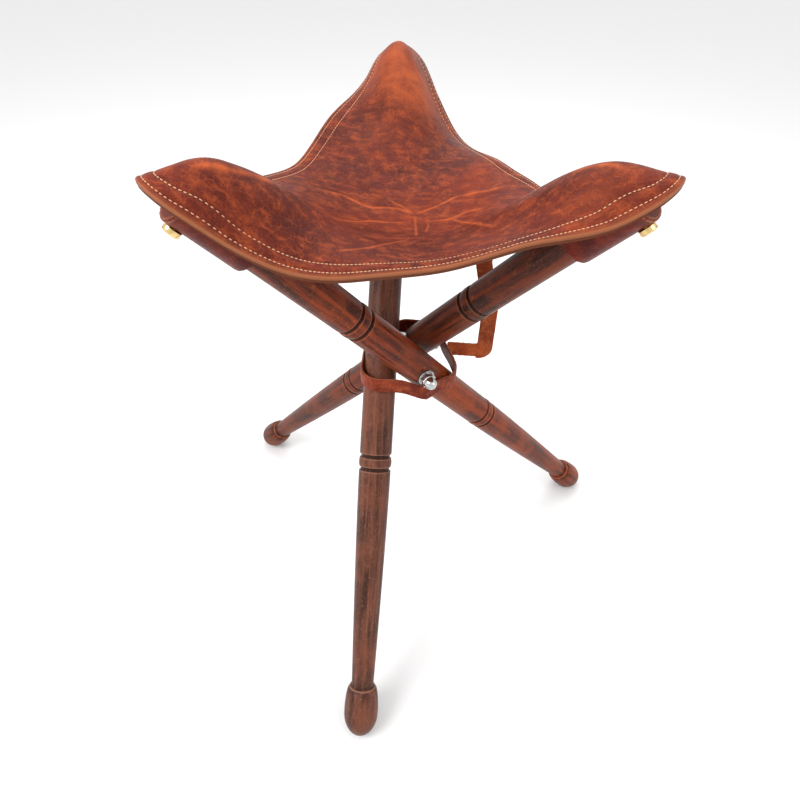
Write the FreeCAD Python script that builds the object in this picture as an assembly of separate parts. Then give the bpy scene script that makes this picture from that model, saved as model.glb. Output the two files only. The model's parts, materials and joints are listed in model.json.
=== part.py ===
import FreeCAD, Part
import math
import os
from FreeCAD import Placement, Rotation, Vector

# Three-legged folding stool: turned legs crossing on a three-way bolt, with a leather seat that hangs
# from the upper leg ends. Millimetres and degrees, +Z up, origin on the floor under the crossing.

# Turned leg, measured along its axis from the bolt hole
LEG_D = 32.0
LEG_TOP = 270.0
LEG_TOP_ROUND = 9.0
UPPER_BEAD = 99.0
LOWER_BEAD = 122.0
BEAD_HALF = 6.5
GROOVE_HALF = 2.2
GROOVE_DEEP = 1.7
BEAD_PROUD = 0.4
TAPER_FROM = 140.0
ANKLE = 356.0
ANKLE_D = 22.5
ANKLE_TO_BULB = 30.0
BULB_D = 35.0
BULB_TO_END = 24.0
LEG_TILT = 40.0
FOOT_FLAT = 0.8
AZIMUTH = {"back": 90.0, "left": 210.0, "right": 330.0}

# Three-way bolt
BOLT_D = 8.0
TURN_CLEAR = 0.08
THREAD_CLEAR = 0.04
NUT_WALL = 2.5
HEAD_H = 5.3
NUT_H = 6.5
DOME_WALL = 2.2
DOME_H = 15.0
WASHER_RIM = 4.0
WASHER_T = 1.6
SPOT_DEEP = 0.8
SPOT_CLEAR = 0.4
EYE_WALL = 6.0
EYE_T = 7.8
EYE_GAP = 0.1
THIRD_LEG_GAP = 12.0

# Leather seat
SEAT_T = 3.0
BAND_T = 2.4
BAND_W = 17.0
TIP_OUT = 38.0
TIP_DROP = {"back": 23.0, "left": 14.5, "right": 11.0}
TIP_TWIST = {"back": 0.26, "left": -0.12, "right": -0.28}
TWIST_AT = 0.68
TWIST_SPAN = 45.0
SEAT_SAG = 76.0
RIDGE_CREST = 0.80
RIDGE_POWER = 1.5
TIP_R = 190.0
EDGE_ANGLE = (0.0, 6.0, 12.0, 20.0, 30.0, 45.0, 60.0)
EDGE_RADIUS = (190.0, 183.0, 163.0, 143.0, 127.0, 112.0, 106.0)
EDGE_DROP = (0.0, 9.0, 30.0, 45.0, 52.0, 56.0, 58.0)
LIFT_SPAN = 22.0
SOFT_CLEAR = 0.35
GRID_STEP = 20.0

# Corner pockets and their brass screws
POCKET_T = 2.5
POCKET_LONG = 58.0
POCKET_CLEAR = 0.3
POCKET_BULGE = 2.0
POCKET_TIP_HALF = 20.0
POCKET_MOUTH_HALF = 44.0
POCKET_RISE = 62.0
SCREW_AT = 8.0
SCREW_D = 4.0
SCREW_LONG = 24.0
SCREW_HEAD_D = 12.5
SCREW_HEAD_H = 4.6
SCREW_CHAMFER = 0.7
SLOT_W = 1.4
SLOT_DEEP = 1.6

# Leather strap round the crossing, and its loose run up to the seat
BELT_T = 2.5
BELT_W = 16.0
BELT_CLEAR = 0.6
BELT_COURSE = (
    (-35.0, -32.0, -14.0),
    (-4.0, -58.0, -13.0),
    (30.0, -57.0, -20.0),
    (51.0, -41.0, -17.0),
    (50.0, 4.0, -8.0),
    (35.0, 24.0, 4.5),
    (0.0, 28.0, 0.0),
    (-32.0, 2.0, -8.0),
)
STRAP_W = 16.0
STRAP_T = 2.5
STRAP_FROM_Y = 3.0
STRAP_FOLD = (87.0, 7.0, -22.0)
STRAP_BEND = (88.0, 8.0, 38.0)
STRAP_UPPER = (78.0, 18.0, 84.0)
STRAP_TOP_BEARING = 36.05
STRAP_TOP_INSET = 11.7

UP = Vector(0, 0, 1)


def unit(v):
    return Vector(v).normalize()


def aimed(shape, along, across, at):
    """The shape with its Z axis turned to along and its Y axis to across, moved to a point."""
    turn = Rotation(across.cross(along), across, along, "ZYX")
    moved = shape.copy()
    moved.Placement = Placement(at, turn).multiply(moved.Placement)
    return moved


def revolved(outline):
    """A solid turned about Z from an outline of (radius, height) points."""
    wire = Part.makePolygon([Vector(r, 0, z) for r, z in outline + outline[:1]])
    return Part.Face(wire).revolve(Vector(0, 0, 0), UP, 360)


def smooth(places, values, at):
    """A smooth curve through a short table of values."""
    at = min(max(at, places[0]), places[-1])
    last = len(places) - 1
    i = max(k for k in range(last) if places[k] <= at)
    slope = [0.0] * (last + 1)
    for k in range(1, last):
        slope[k] = (values[k + 1] - values[k - 1]) / (places[k + 1] - places[k - 1])
    step = places[i + 1] - places[i]
    t = (at - places[i]) / step
    start = (2 * t**3 - 3 * t**2 + 1) * values[i] + (t**3 - 2 * t**2 + t) * step * slope[i]
    end = (3 * t**2 - 2 * t**3) * values[i + 1] + (t**3 - t**2) * step * slope[i + 1]
    return start + end


# Frame of the crossing: where each leg's hole lies and which way each leg runs
bulb = ANKLE + ANKLE_TO_BULB
leg_end = bulb + BULB_TO_END
hole_off = EYE_T / 2 + EYE_GAP + LEG_D / 2
third_leg_off = LEG_D + THIRD_LEG_GAP
nut_af = BOLT_D + 2 * NUT_WALL
washer_r = BOLT_D / 2 + WASHER_RIM
eye_d = BOLT_D + 2 * EYE_WALL
tilt = math.radians(LEG_TILT)
leans = {}
for leg, azimuth in AZIMUTH.items():
    turn = math.radians(azimuth)
    leans[leg] = Vector(math.sin(tilt) * math.cos(turn), math.sin(tilt) * math.sin(turn), math.cos(tilt))
bolt_way = unit(leans["back"].cross(leans["right"]))
if bolt_way.x > 0:
    bolt_way = -bolt_way
eye_way = unit(bolt_way.cross(leans["left"]))
if eye_way.y > 0:
    eye_way = -eye_way
holes = {"back": bolt_way * hole_off, "right": bolt_way * -hole_off, "left": eye_way * third_leg_off}

# The whole frame is levelled so that the three foot bulbs stand at one height
feet = {leg: holes[leg] - leans[leg] * bulb for leg in leans}
normal = unit((feet["left"] - feet["back"]).cross(feet["right"] - feet["back"]))
if normal.z < 0:
    normal = -normal
level = Rotation(normal, UP)
leans = {leg: level.multVec(v) for leg, v in leans.items()}
bolt_way = level.multVec(bolt_way)
eye_way = level.multVec(eye_way)


def bulb_reach(leg):
    """How far the foot bulb reaches below its middle when the leg leans as it stands."""
    return math.hypot(BULB_TO_END * leans[leg].z, BULB_D / 2 * math.hypot(leans[leg].x, leans[leg].y))


bulb_z = level.multVec(feet["back"]).z
floor_z = bulb_z - min(bulb_reach(leg) for leg in leans) + FOOT_FLAT
crossing = Vector(0, 0, -floor_z)
holes = {leg: level.multVec(v) + crossing for leg, v in holes.items()}


def on_leg(leg, along):
    return holes[leg] + leans[leg] * along


def outward(leg):
    """Square to the leg, pointing away from the stool and down."""
    run = math.hypot(leans[leg].x, leans[leg].y)
    return Vector(leans[leg].x / run * leans[leg].z, leans[leg].y / run * leans[leg].z, -run)


def bead(at, radius):
    """A ring left standing a little proud between two grooves."""
    return [
        (radius, at + BEAD_HALF + GROOVE_HALF),
        (radius - GROOVE_DEEP, at + BEAD_HALF),
        (radius + BEAD_PROUD, at + BEAD_HALF - GROOVE_HALF),
        (radius + BEAD_PROUD, at - BEAD_HALF + GROOVE_HALF),
        (radius - GROOVE_DEEP, at - BEAD_HALF),
        (radius, at - BEAD_HALF - GROOVE_HALF),
    ]


def turned_leg():
    """The leg on its own axis, top up, with its bolt hole along Y through the origin."""
    r = LEG_D / 2
    line = [(0, LEG_TOP)]
    for step in range(3):
        a = math.radians(90 - 45 * step)
        line.append(
            (r - LEG_TOP_ROUND + LEG_TOP_ROUND * math.cos(a), LEG_TOP - LEG_TOP_ROUND * (1 - math.sin(a)))
        )
    line += bead(UPPER_BEAD, r) + bead(-LOWER_BEAD, r)
    ankle_r = ANKLE_D / 2
    for share in (0.0, 0.55, 1.0):
        along = TAPER_FROM + (ANKLE - TAPER_FROM) * share
        line.append((r - (r - ankle_r) * share**1.35, -along))
    # the foot: a sharp shoulder, then an egg that is fullest a little below its middle
    shoulder_r = BULB_D * 0.39
    line.append((shoulder_r, -ANKLE - 2.5))
    for turn in range(4):
        a = math.radians(30 * turn)
        top = ANKLE + 2.5
        line.append(
            (
                shoulder_r + (BULB_D / 2 - shoulder_r) * math.sin(a),
                -(top + (bulb - top) * (1 - math.cos(a))),
            )
        )
    for turn in range(1, 4):
        a = math.radians(30 * turn)
        line.append((BULB_D / 2 * math.cos(a), -(bulb + BULB_TO_END * math.sin(a))))
    line[-1] = (0, -leg_end)
    unique = [line[0]]
    for point in line[1:]:
        if math.dist(point, unique[-1]) > 0.01:
            unique.append(point)
    return revolved(unique)


def spot_face(side):
    """A shallow round seat for a washer on the side of the leg that Y points to."""
    cut = Part.makeCylinder(washer_r + SPOT_CLEAR, LEG_D, Vector(0, 0, 0), Vector(0, side, 0))
    cut.translate(Vector(0, side * (LEG_D / 2 - SPOT_DEEP), 0))
    return cut


def leg(name):
    """A leg in its place, drilled for its bolt and its corner screw, its foot worn flat on the floor."""
    across = eye_way if name == "left" else bolt_way
    hole_r = BOLT_D / 2 + TURN_CLEAR
    body = turned_leg()
    hole = Part.makeCylinder(hole_r, LEG_D * 2, Vector(0, -LEG_D, 0), Vector(0, 1, 0))
    sides = {"back": (1,), "right": (-1,), "left": (-1, 1)}[name]
    body = body.cut([hole] + [spot_face(side) for side in sides])
    body = aimed(body, leans[name], across, holes[name])
    seat = on_leg(name, LEG_TOP - SCREW_AT)
    pilot = Part.makeCylinder(
        SCREW_D / 2 + THREAD_CLEAR,
        SCREW_LONG,
        seat + outward(name) * (LEG_D / 2 + 5 - SCREW_LONG),
        outward(name),
    )
    ground = Part.makeBox(200, 200, 60)
    ground.translate(Vector(feet_at[name].x - 100, feet_at[name].y - 100, -60))
    return body.cut([pilot, ground])


feet_at = {name: on_leg(name, -bulb) for name in leans}


def hexagon(height):
    """A hexagonal prism on the XY plane with its upper corners turned off."""
    r = nut_af / 2 / math.cos(math.radians(30))
    ring = [Vector(r * math.cos(math.radians(60 * i)), r * math.sin(math.radians(60 * i)), 0) for i in range(7)]
    prism = Part.Face(Part.makePolygon(ring)).extrude(Vector(0, 0, height))
    bevel = r - nut_af / 2
    turned = revolved([(0, 0), (r, 0), (r, height - bevel * 0.6), (nut_af / 2 * 0.97, height), (0, height)])
    return prism.common(turned)


def washer():
    ring = Part.makeCylinder(washer_r, WASHER_T)
    return ring.cut(Part.makeCylinder(BOLT_D / 2 + TURN_CLEAR, WASHER_T))


def acorn_nut():
    """A domed nut: a hexagon, a turned neck and a closed dome over the bolt's end."""
    r = BOLT_D / 2 + DOME_WALL
    neck = NUT_H + 0.6
    dome = [(0, 0), (r, 0), (r, neck)]
    for turn in range(1, 4):
        a = math.radians(30 * turn)
        dome.append((r * math.cos(a), neck + (DOME_H - neck) * math.sin(a)))
    dome[-1] = (0, DOME_H)
    body = hexagon(NUT_H).fuse(revolved(dome)).removeSplitter()
    return body.cut(Part.makeCylinder(BOLT_D / 2 + THREAD_CLEAR, DOME_H - 3.0))


def along_bolt(shape, way, distance):
    """A turned shape standing on the line of a bolt, its own Z along the bolt."""
    across = leans["left"] if way.isEqual(eye_way, 1e-6) else eye_way
    return aimed(shape, way, unit(across.cross(way)), crossing + way * distance)


washer_from = hole_off + LEG_D / 2 - SPOT_DEEP
nut_from = washer_from + WASHER_T
third_out = third_leg_off + LEG_D / 2 - SPOT_DEEP
third_in = third_leg_off - LEG_D / 2 + SPOT_DEEP
bolt_into_nut = DOME_H - 4.0


def main_bolt():
    """The long bolt through the back and right legs: a hexagon head at one end, thread at the other."""
    reach = nut_from + bolt_into_nut
    shank = Part.makeCylinder(BOLT_D / 2, nut_from + reach, Vector(0, 0, -nut_from))
    head = hexagon(HEAD_H).mirror(Vector(0, 0, 0), UP)
    head.translate(Vector(0, 0, -nut_from))
    bolt = shank.fuse(head).removeSplitter()
    return along_bolt(bolt, -bolt_way, 0)


def eye_bolt():
    """The eye that turns on the long bolt between the two legs, with its shank through the third leg."""
    ring = Part.makeCylinder(eye_d / 2, EYE_T, Vector(0, -EYE_T / 2, 0), Vector(0, 1, 0))
    shank_end = third_out + WASHER_T + bolt_into_nut
    shank = Part.makeCylinder(BOLT_D / 2, shank_end)
    flat = Part.makeBox(BOLT_D * 2, EYE_T, eye_d, Vector(-BOLT_D, -EYE_T / 2, 0))
    shoulder = Part.makeCylinder(BOLT_D / 2, eye_d).common(flat)
    body = ring.fuse([shank.cut(Part.makeBox(eye_d, eye_d, eye_d, Vector(-eye_d / 2, -eye_d / 2, 0))), shoulder])
    bore = Part.makeCylinder(BOLT_D / 2 + TURN_CLEAR, EYE_T, Vector(0, -EYE_T / 2, 0), Vector(0, 1, 0))
    return aimed(body.cut(bore).removeSplitter(), eye_way, bolt_way, crossing)


def plain_nut():
    body = hexagon(NUT_H)
    return body.cut(Part.makeCylinder(BOLT_D / 2 + THREAD_CLEAR, NUT_H))


# Seat surface: tips, their plane, and the leather's height over any point of the floor
tips = {}
for name in AZIMUTH:
    tips[name] = on_leg(name, LEG_TOP + TIP_OUT) - Vector(0, 0, TIP_DROP[name])
middle = (tips["back"] + tips["left"] + tips["right"]) / 3
plane_normal = unit((tips["left"] - tips["back"]).cross(tips["right"] - tips["back"]))
RING = ("back", "left", "right")


def bearing(point):
    return math.degrees(math.atan2(point.y - middle.y, point.x - middle.x))


def tip_radius(name):
    return math.hypot(tips[name].x - middle.x, tips[name].y - middle.y)


def sector(x, y):
    """The nearest tip, the angle from it as a share of the way to the next one, and that next tip."""
    here = bearing(Vector(x, y, 0))
    for i in range(3):
        first, second = RING[i], RING[(i + 1) % 3]
        span = (bearing(tips[second]) - bearing(tips[first])) % 360
        gone = (here - bearing(tips[first])) % 360
        if gone <= span:
            share = 120 * gone / span
            if share <= 60:
                return first, second, share
            return second, first, 120 - share
    return RING[0], RING[1], 0.0


def edge_radius(near, far, share):
    scale = tip_radius(near) + (tip_radius(far) - tip_radius(near)) * share / 120
    return smooth(EDGE_ANGLE, EDGE_RADIUS, share) * scale / TIP_R


def drape(x, y):
    """Height of the seat's upper face before the leg ends lift it."""
    level_z = middle.z - ((x - middle.x) * plane_normal.x + (y - middle.y) * plane_normal.y) / plane_normal.z
    near, far, share = sector(x, y)
    rim = math.hypot(x - middle.x, y - middle.y) / edge_radius(near, far, share)
    mid = (1 - math.cos(math.radians(3 * share))) / 2
    crest = RIDGE_CREST + (1 - RIDGE_CREST) * mid
    climb = ((1 - math.cos(math.pi * min(rim / crest, 1))) / 2) ** (RIDGE_POWER + (1 - RIDGE_POWER) * mid)
    drop = smooth(EDGE_ANGLE, EDGE_DROP, share)
    height = level_z - SEAT_SAG + (SEAT_SAG - drop) * climb
    for name in RING:
        turn = math.radians(bearing(tips[name]))
        run = (x - middle.x) * math.cos(turn) + (y - middle.y) * math.sin(turn)
        aside = (y - middle.y) * math.cos(turn) - (x - middle.x) * math.sin(turn)
        swell = math.exp(-(((run - TWIST_AT * tip_radius(name)) / TWIST_SPAN) ** 2))
        height += TIP_TWIST[name] * aside * swell
    return height


def leg_end_spots(name):
    """Points all over a leg's rounded upper end."""
    lean = leans[name]
    out = outward(name)
    side = lean.cross(out)
    ring_r = LEG_D / 2 - LEG_TOP_ROUND
    spots = []
    for turn in range(0, 360, 10):
        a = math.radians(turn)
        way = out * math.cos(a) + side * math.sin(a)
        for rise in range(0, 91, 15):
            b = math.radians(rise)
            spots.append(
                on_leg(name, LEG_TOP - LEG_TOP_ROUND * (1 - math.sin(b))) + way * (ring_r + LEG_TOP_ROUND * math.cos(b))
            )
    return spots


def leg_end_lift(name):
    """Where a leg's end bears on the leather, and how far it lifts it to lie just clear of every point."""
    spots = leg_end_spots(name)
    high = max(spots, key=lambda p: p.z)
    under = SEAT_T + BAND_T + 3 * SOFT_CLEAR
    needs = []
    for p in spots:
        away = math.hypot(p.x - high.x, p.y - high.y) / LIFT_SPAN
        needs.append((p.z + under - drape(p.x, p.y)) / math.exp(-(away**2)))
    return high, max(needs)


lifts = [leg_end_lift(name) for name in RING]


def seat_z(x, y):
    height = drape(x, y)
    for high, lift in lifts:
        away = math.hypot(x - high.x, y - high.y) / LIFT_SPAN
        height += lift * math.exp(-(away**2))
    return height


def rim_points(inset):
    """Points along the seat's outline, moved in from the edge."""
    points = []
    for i in range(3):
        first, second = RING[i], RING[(i + 1) % 3]
        span = (bearing(tips[second]) - bearing(tips[first])) % 360
        for at in (0, 6, 12, 20, 30, 45, 60, 75, 90, 100, 108, 114):
            near, far, share = (first, second, at) if at <= 60 else (second, first, 120 - at)
            turn = math.radians(bearing(tips[first]) + span * at / 120)
            reach = edge_radius(near, far, share)
            points.append(Vector(middle.x + reach * math.cos(turn), middle.y + reach * math.sin(turn), 0))
    if inset:
        count = len(points)
        moved = []
        for i in range(count):
            way = unit(points[(i + 1) % count] - points[i - 1])
            moved.append(points[i] + Vector(-way.y, way.x, 0) * inset)
        points = moved
    return points


def rim_prism(inset):
    curve = Part.BSplineCurve()
    curve.interpolate(rim_points(inset), PeriodicFlag=True)
    face = Part.Face(Part.Wire(curve.toShape()))
    return face.extrude(Vector(0, 0, crossing.z * 3))


def seat_face():
    """One smooth face through the seat's upper heights, wider than the seat on every side."""
    rim = rim_points(0)
    low_x, high_x = min(p.x for p in rim) - 20, max(p.x for p in rim) + 20
    low_y, high_y = min(p.y for p in rim) - 20, max(p.y for p in rim) + 20
    columns = int((high_x - low_x) / GRID_STEP)
    rows = int((high_y - low_y) / GRID_STEP)
    grid = []
    for i in range(columns + 1):
        x = low_x + (high_x - low_x) * i / columns
        line = []
        for j in range(rows + 1):
            y = low_y + (high_y - low_y) * j / rows
            line.append(Vector(x, y, seat_z(x, y)))
        grid.append(line)
    surface = Part.BSplineSurface()
    surface.interpolate(grid)
    return surface.toShape()


upper_face = seat_face()


def leather_layer(top_drop, thickness):
    layer = upper_face.copy()
    layer.translate(Vector(0, 0, -top_drop))
    return layer.extrude(Vector(0, 0, -thickness))


def seat_leather():
    return leather_layer(0, SEAT_T).common(rim_prism(0))


def edge_band():
    """The strip doubled under the seat's edge, which the two rows of stitching hold."""
    return leather_layer(SEAT_T + SOFT_CLEAR, BAND_T).common(rim_prism(0).cut(rim_prism(BAND_W)))


def pocket_section(name, along, grow, half):
    """A closed outline round the leg: a half circle on its outer side, walls opening towards the seat."""
    r = LEG_D / 2 + POCKET_CLEAR + grow
    out = outward(name)
    side = unit(leans[name].cross(out))
    at = on_leg(name, along)
    top = out * -POCKET_RISE
    start, end = at + side * r, at - side * r
    bottom = at + out * (r + POCKET_BULGE)
    arc = Part.Arc(end, bottom, start).toShape()
    left, right = at + top - side * (half + grow), at + top + side * (half + grow)
    return Part.Wire(
        [arc, Part.makeLine(start, right), Part.makeLine(right, left), Part.makeLine(left, end)]
    )


def pocket(name):
    """The leather pocket sewn under a corner of the seat, round the outer side of the leg's end."""
    spans = (
        (LEG_TOP + POCKET_CLEAR, POCKET_TIP_HALF),
        (LEG_TOP - POCKET_LONG * 0.5, (POCKET_TIP_HALF + POCKET_MOUTH_HALF) / 2),
        (LEG_TOP - POCKET_LONG, POCKET_MOUTH_HALF),
    )
    outer = [pocket_section(name, LEG_TOP + POCKET_CLEAR + POCKET_T, POCKET_T, POCKET_TIP_HALF - 1)]
    outer += [pocket_section(name, along, POCKET_T, half) for along, half in spans[1:]]
    inner = [pocket_section(name, along, 0, half) for along, half in spans[:2]]
    inner.append(pocket_section(name, LEG_TOP - POCKET_LONG - 1, 0, POCKET_MOUTH_HALF + 0.4))
    shell = Part.makeLoft(outer, True, True).cut(Part.makeLoft(inner, True, True))
    below = leather_layer(SEAT_T + BAND_T + 2 * SOFT_CLEAR, crossing.z)
    shell = shell.common(below).common(rim_prism(1.0))
    screw_way = Part.makeCylinder(
        SCREW_D / 2 + THREAD_CLEAR, LEG_D, on_leg(name, LEG_TOP - SCREW_AT), outward(name)
    )
    shell = shell.cut(screw_way)
    return max(shell.Solids, key=lambda s: s.Volume)


def corner_screw(name):
    """A brass cheese-head wood screw with a slot, through the pocket into the leg."""
    r = SCREW_HEAD_D / 2
    head = revolved(
        [
            (0, 0),
            (r, 0),
            (r, SCREW_HEAD_H - SCREW_CHAMFER),
            (r - SCREW_CHAMFER, SCREW_HEAD_H),
            (0, SCREW_HEAD_H),
        ]
    )
    slot = Part.makeBox(SCREW_HEAD_D + 2, SLOT_W, SLOT_DEEP)
    slot.translate(Vector(-SCREW_HEAD_D / 2 - 1, -SLOT_W / 2, SCREW_HEAD_H - SLOT_DEEP))
    point = SCREW_D / 2
    shank = revolved([(0, -SCREW_LONG + 6), (0, 0), (point, 0), (point, -SCREW_LONG + 6 + SCREW_D)])
    screw = head.cut(slot).fuse(shank).removeSplitter()
    seat = on_leg(name, LEG_TOP - SCREW_AT) + outward(name) * screw_seat
    return aimed(screw, outward(name), unit(leans[name].cross(outward(name))), seat)


screw_seat = LEG_D / 2 + POCKET_CLEAR + POCKET_T + POCKET_BULGE


def belt_rise(x, y):
    """How far above the crossing the middle of the belt lies at a place on its way round."""
    pull = [1 / ((x - at_x) ** 2 + (y - at_y) ** 2 + 9) for at_x, at_y, rise in BELT_COURSE]
    return sum(p * place[2] for p, place in zip(pull, BELT_COURSE)) / sum(pull)


def belt_loop():
    """The belt's inner outline in plan: the tightest loop round all three legs where the belt lies."""
    spots = []
    for name in RING:
        lean = leans[name]
        side = unit(lean.cross(UP))
        other = lean.cross(side)
        for turn in range(0, 360, 15):
            a = math.radians(turn)
            start = holes[name] + (side * math.cos(a) + other * math.sin(a)) * (LEG_D / 2 + BELT_CLEAR)
            for edge in (-BELT_W / 2, BELT_W / 2):
                at = start
                for again in range(6):
                    at = start + lean * ((crossing.z + belt_rise(at.x, at.y) + edge - start.z) / lean.z)
                spots.append((at.x, at.y))
    # where a washer stands as high as the belt, the loop passes outside it too
    for way, out in ((eye_way, third_out), (-bolt_way, washer_from)):
        side = unit(way.cross(UP))
        other = way.cross(side)
        for turn in range(0, 360, 15):
            a = math.radians(turn)
            rim = (side * math.cos(a) + other * math.sin(a)) * (washer_r + BELT_CLEAR)
            rim += crossing + way * (out + WASHER_T)
            if abs(rim.z - crossing.z - belt_rise(rim.x, rim.y)) < BELT_W / 2 + BELT_CLEAR:
                spots.append((rim.x, rim.y))
    corners = [Vector(x, y, 0) for x, y in tight_loop(sorted(spots))]
    return Part.makePolygon(corners + corners[:1])


def tight_loop(spots):
    """The corners of the tightest loop round some flat points, one after another."""
    loop = []
    for line in (spots, spots[::-1]):
        half = []
        for x, y in line:
            while len(half) > 1:
                (ax, ay), (bx, by) = half[-2], half[-1]
                if (bx - ax) * (y - ay) - (by - ay) * (x - ax) > 0:
                    break
                half.pop()
            half.append((x, y))
        loop += half[:-1]
    return loop


def leg_belt():
    """The strap's closed turn round the legs, threaded under the third leg's nut and over the long bolt's."""
    inner = belt_loop()
    tall = Vector(0, 0, crossing.z * 2)
    ring = Part.Face(inner.makeOffset2D(BELT_T)).extrude(tall).cut(Part.Face(inner).extrude(tall))
    box = ring.BoundBox
    grid = []
    for i in range(9):
        x = box.XMin - 5 + (box.XLength + 10) * i / 8
        line = []
        for j in range(9):
            y = box.YMin - 5 + (box.YLength + 10) * j / 8
            line.append(Vector(x, y, crossing.z + belt_rise(x, y) - BELT_W / 2))
        grid.append(line)
    lower_edge = Part.BSplineSurface()
    lower_edge.interpolate(grid)
    return ring.common(lower_edge.toShape().extrude(Vector(0, 0, BELT_W)))


def strip(stations):
    """A flat strip through places given with the way its width lies and the way its thickness lies."""
    sections = []
    for at, wide, thin in stations:
        a, b = unit(wide) * (STRAP_W / 2), unit(thin) * (STRAP_T / 2)
        sections.append(Part.makePolygon([at - a - b, at + a - b, at + a + b, at - a + b, at - a - b]))
    return Part.makeLoft(sections, True, True)


def strap_tail():
    """The strap's loose end: out from the belt, folded once, and up to the band under the seat's edge."""
    across = Vector(1, 0, 0)
    deep = Vector(0, 1, 0)
    edge_way = unit(tips["right"] - tips["back"])
    edge_side = unit(edge_way.cross(UP))
    turn = math.radians(STRAP_TOP_BEARING)
    out = Vector(math.cos(turn), math.sin(turn), 0)
    reach = edge_radius(*sector(middle.x + out.x, middle.y + out.y)) - STRAP_TOP_INSET
    hook = Vector(middle.x, middle.y, 0) + out * reach
    heights = []
    for a in (-STRAP_W / 2, STRAP_W / 2):
        for b in (-STRAP_T / 2, STRAP_T / 2):
            corner = hook + edge_way * a + edge_side * b
            heights.append(seat_z(corner.x, corner.y) - corner.z)
    hook.z = min(heights) - SEAT_T - BAND_T - 2 * SOFT_CLEAR
    fold = crossing + Vector(*STRAP_FOLD)
    rise = strip(
        [
            (fold, across, deep),
            (crossing + Vector(*STRAP_BEND), across, deep),
            (crossing + Vector(*STRAP_UPPER), across, deep),
            (hook, edge_way, edge_side),
        ]
    )
    inside_belt = Part.Face(belt_loop().makeOffset2D(BELT_T))
    level_line = Part.makeLine(Vector(0, STRAP_FROM_Y, 0), Vector(LEG_TOP, STRAP_FROM_Y, 0))
    from_x = max(v.X for v in inside_belt.common(level_line).Vertexes) + SOFT_CLEAR + STRAP_T / 2
    start = Vector(from_x, STRAP_FROM_Y, crossing.z + belt_rise(from_x, STRAP_FROM_Y))
    turned_end = fold + Vector(STRAP_W / 2, STRAP_T, STRAP_W / 2)
    return rise.fuse(strip([(start, UP, deep), (turned_end, UP, deep)]))


NODES = {
    "leg_back": lambda: leg("back"),
    "leg_left": lambda: leg("left"),
    "leg_right": lambda: leg("right"),
    "main_bolt": main_bolt,
    "main_bolt_head_washer": lambda: along_bolt(washer(), bolt_way, washer_from),
    "main_bolt_nut_washer": lambda: along_bolt(washer(), -bolt_way, washer_from),
    "main_bolt_nut": lambda: along_bolt(acorn_nut(), -bolt_way, nut_from),
    "eye_bolt": eye_bolt,
    "eye_bolt_inner_nut": lambda: along_bolt(plain_nut(), eye_way, third_in - WASHER_T - NUT_H),
    "eye_bolt_inner_washer": lambda: along_bolt(washer(), eye_way, third_in - WASHER_T),
    "eye_bolt_outer_washer": lambda: along_bolt(washer(), eye_way, third_out),
    "eye_bolt_nut": lambda: along_bolt(acorn_nut(), eye_way, third_out + WASHER_T),
    "seat_leather": seat_leather,
    "seat_edge_band": edge_band,
    "pocket_back": lambda: pocket("back"),
    "pocket_left": lambda: pocket("left"),
    "pocket_right": lambda: pocket("right"),
    "screw_back": lambda: corner_screw("back"),
    "screw_left": lambda: corner_screw("left"),
    "screw_right": lambda: corner_screw("right"),
    "leg_belt": leg_belt,
    "strap_tail": strap_tail,
}

# The origin is the middle of the stool's own box, on the floor
shapes = {node: make() for node, make in NODES.items()}
boxes = [shape.optimalBoundingBox(False) for shape in shapes.values()]
middle_x = (min(box.XMin for box in boxes) + max(box.XMax for box in boxes)) / 2
middle_y = (min(box.YMin for box in boxes) + max(box.YMax for box in boxes)) / 2
to_origin = Vector(-middle_x, -middle_y, 0)

os.makedirs("parts", exist_ok=True)
for node, shape in shapes.items():
    shape.translate(to_origin)
    shape.exportStep(f"parts/{node}.step")
    print(f"{node}: {len(shape.Solids)} solid, {shape.Volume:.0f} mm3, valid {shape.isValid()}")
print("moved by", to_origin, "crossing", crossing + to_origin)
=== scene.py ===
import json
import math
import bmesh
import bpy
from mathutils import Matrix, Vector, noise
from mathutils.bvhtree import BVHTree
from mathutils.geometry import intersect_point_line


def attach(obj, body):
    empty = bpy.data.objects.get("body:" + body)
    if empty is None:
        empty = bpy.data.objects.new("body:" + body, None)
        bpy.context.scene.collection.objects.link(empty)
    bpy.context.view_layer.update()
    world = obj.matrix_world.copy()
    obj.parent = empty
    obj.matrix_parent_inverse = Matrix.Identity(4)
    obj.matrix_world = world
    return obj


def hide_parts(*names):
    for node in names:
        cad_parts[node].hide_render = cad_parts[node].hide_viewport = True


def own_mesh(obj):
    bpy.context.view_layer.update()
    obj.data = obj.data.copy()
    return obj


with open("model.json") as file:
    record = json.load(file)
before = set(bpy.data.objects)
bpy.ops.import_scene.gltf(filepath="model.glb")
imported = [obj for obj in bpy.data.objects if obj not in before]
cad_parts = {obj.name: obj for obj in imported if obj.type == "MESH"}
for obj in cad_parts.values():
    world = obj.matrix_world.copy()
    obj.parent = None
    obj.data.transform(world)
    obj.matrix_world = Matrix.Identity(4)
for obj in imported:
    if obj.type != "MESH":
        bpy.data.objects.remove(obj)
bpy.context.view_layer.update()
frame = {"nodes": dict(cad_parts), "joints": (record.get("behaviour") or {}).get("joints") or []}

# The studio: a plain white floor under soft light from above, strongest from the left, and the camera
# where the stool was photographed from, close and a little above the seat.
CAMERA_AT = (0.02455, -0.43999, 0.67800)
CAMERA_AIM = (-0.01367, 0.04330, 0.23623)
CAMERA_LENS = 26.76
FLOOR_SIZE = 40.0
FLOOR_TONES = ((0.82, 0.82, 0.82), (0.86, 0.86, 0.86))
# each lamp's place, size and power
LAMPS = {
    "left_softbox": ((-1.15, -0.75, 1.55), 1.1, 22.0),
    "right_softbox": ((1.30, -0.65, 1.15), 0.9, 5.0),
    "top_softbox": ((0.10, 0.75, 1.90), 1.2, 12.0),
}


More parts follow.
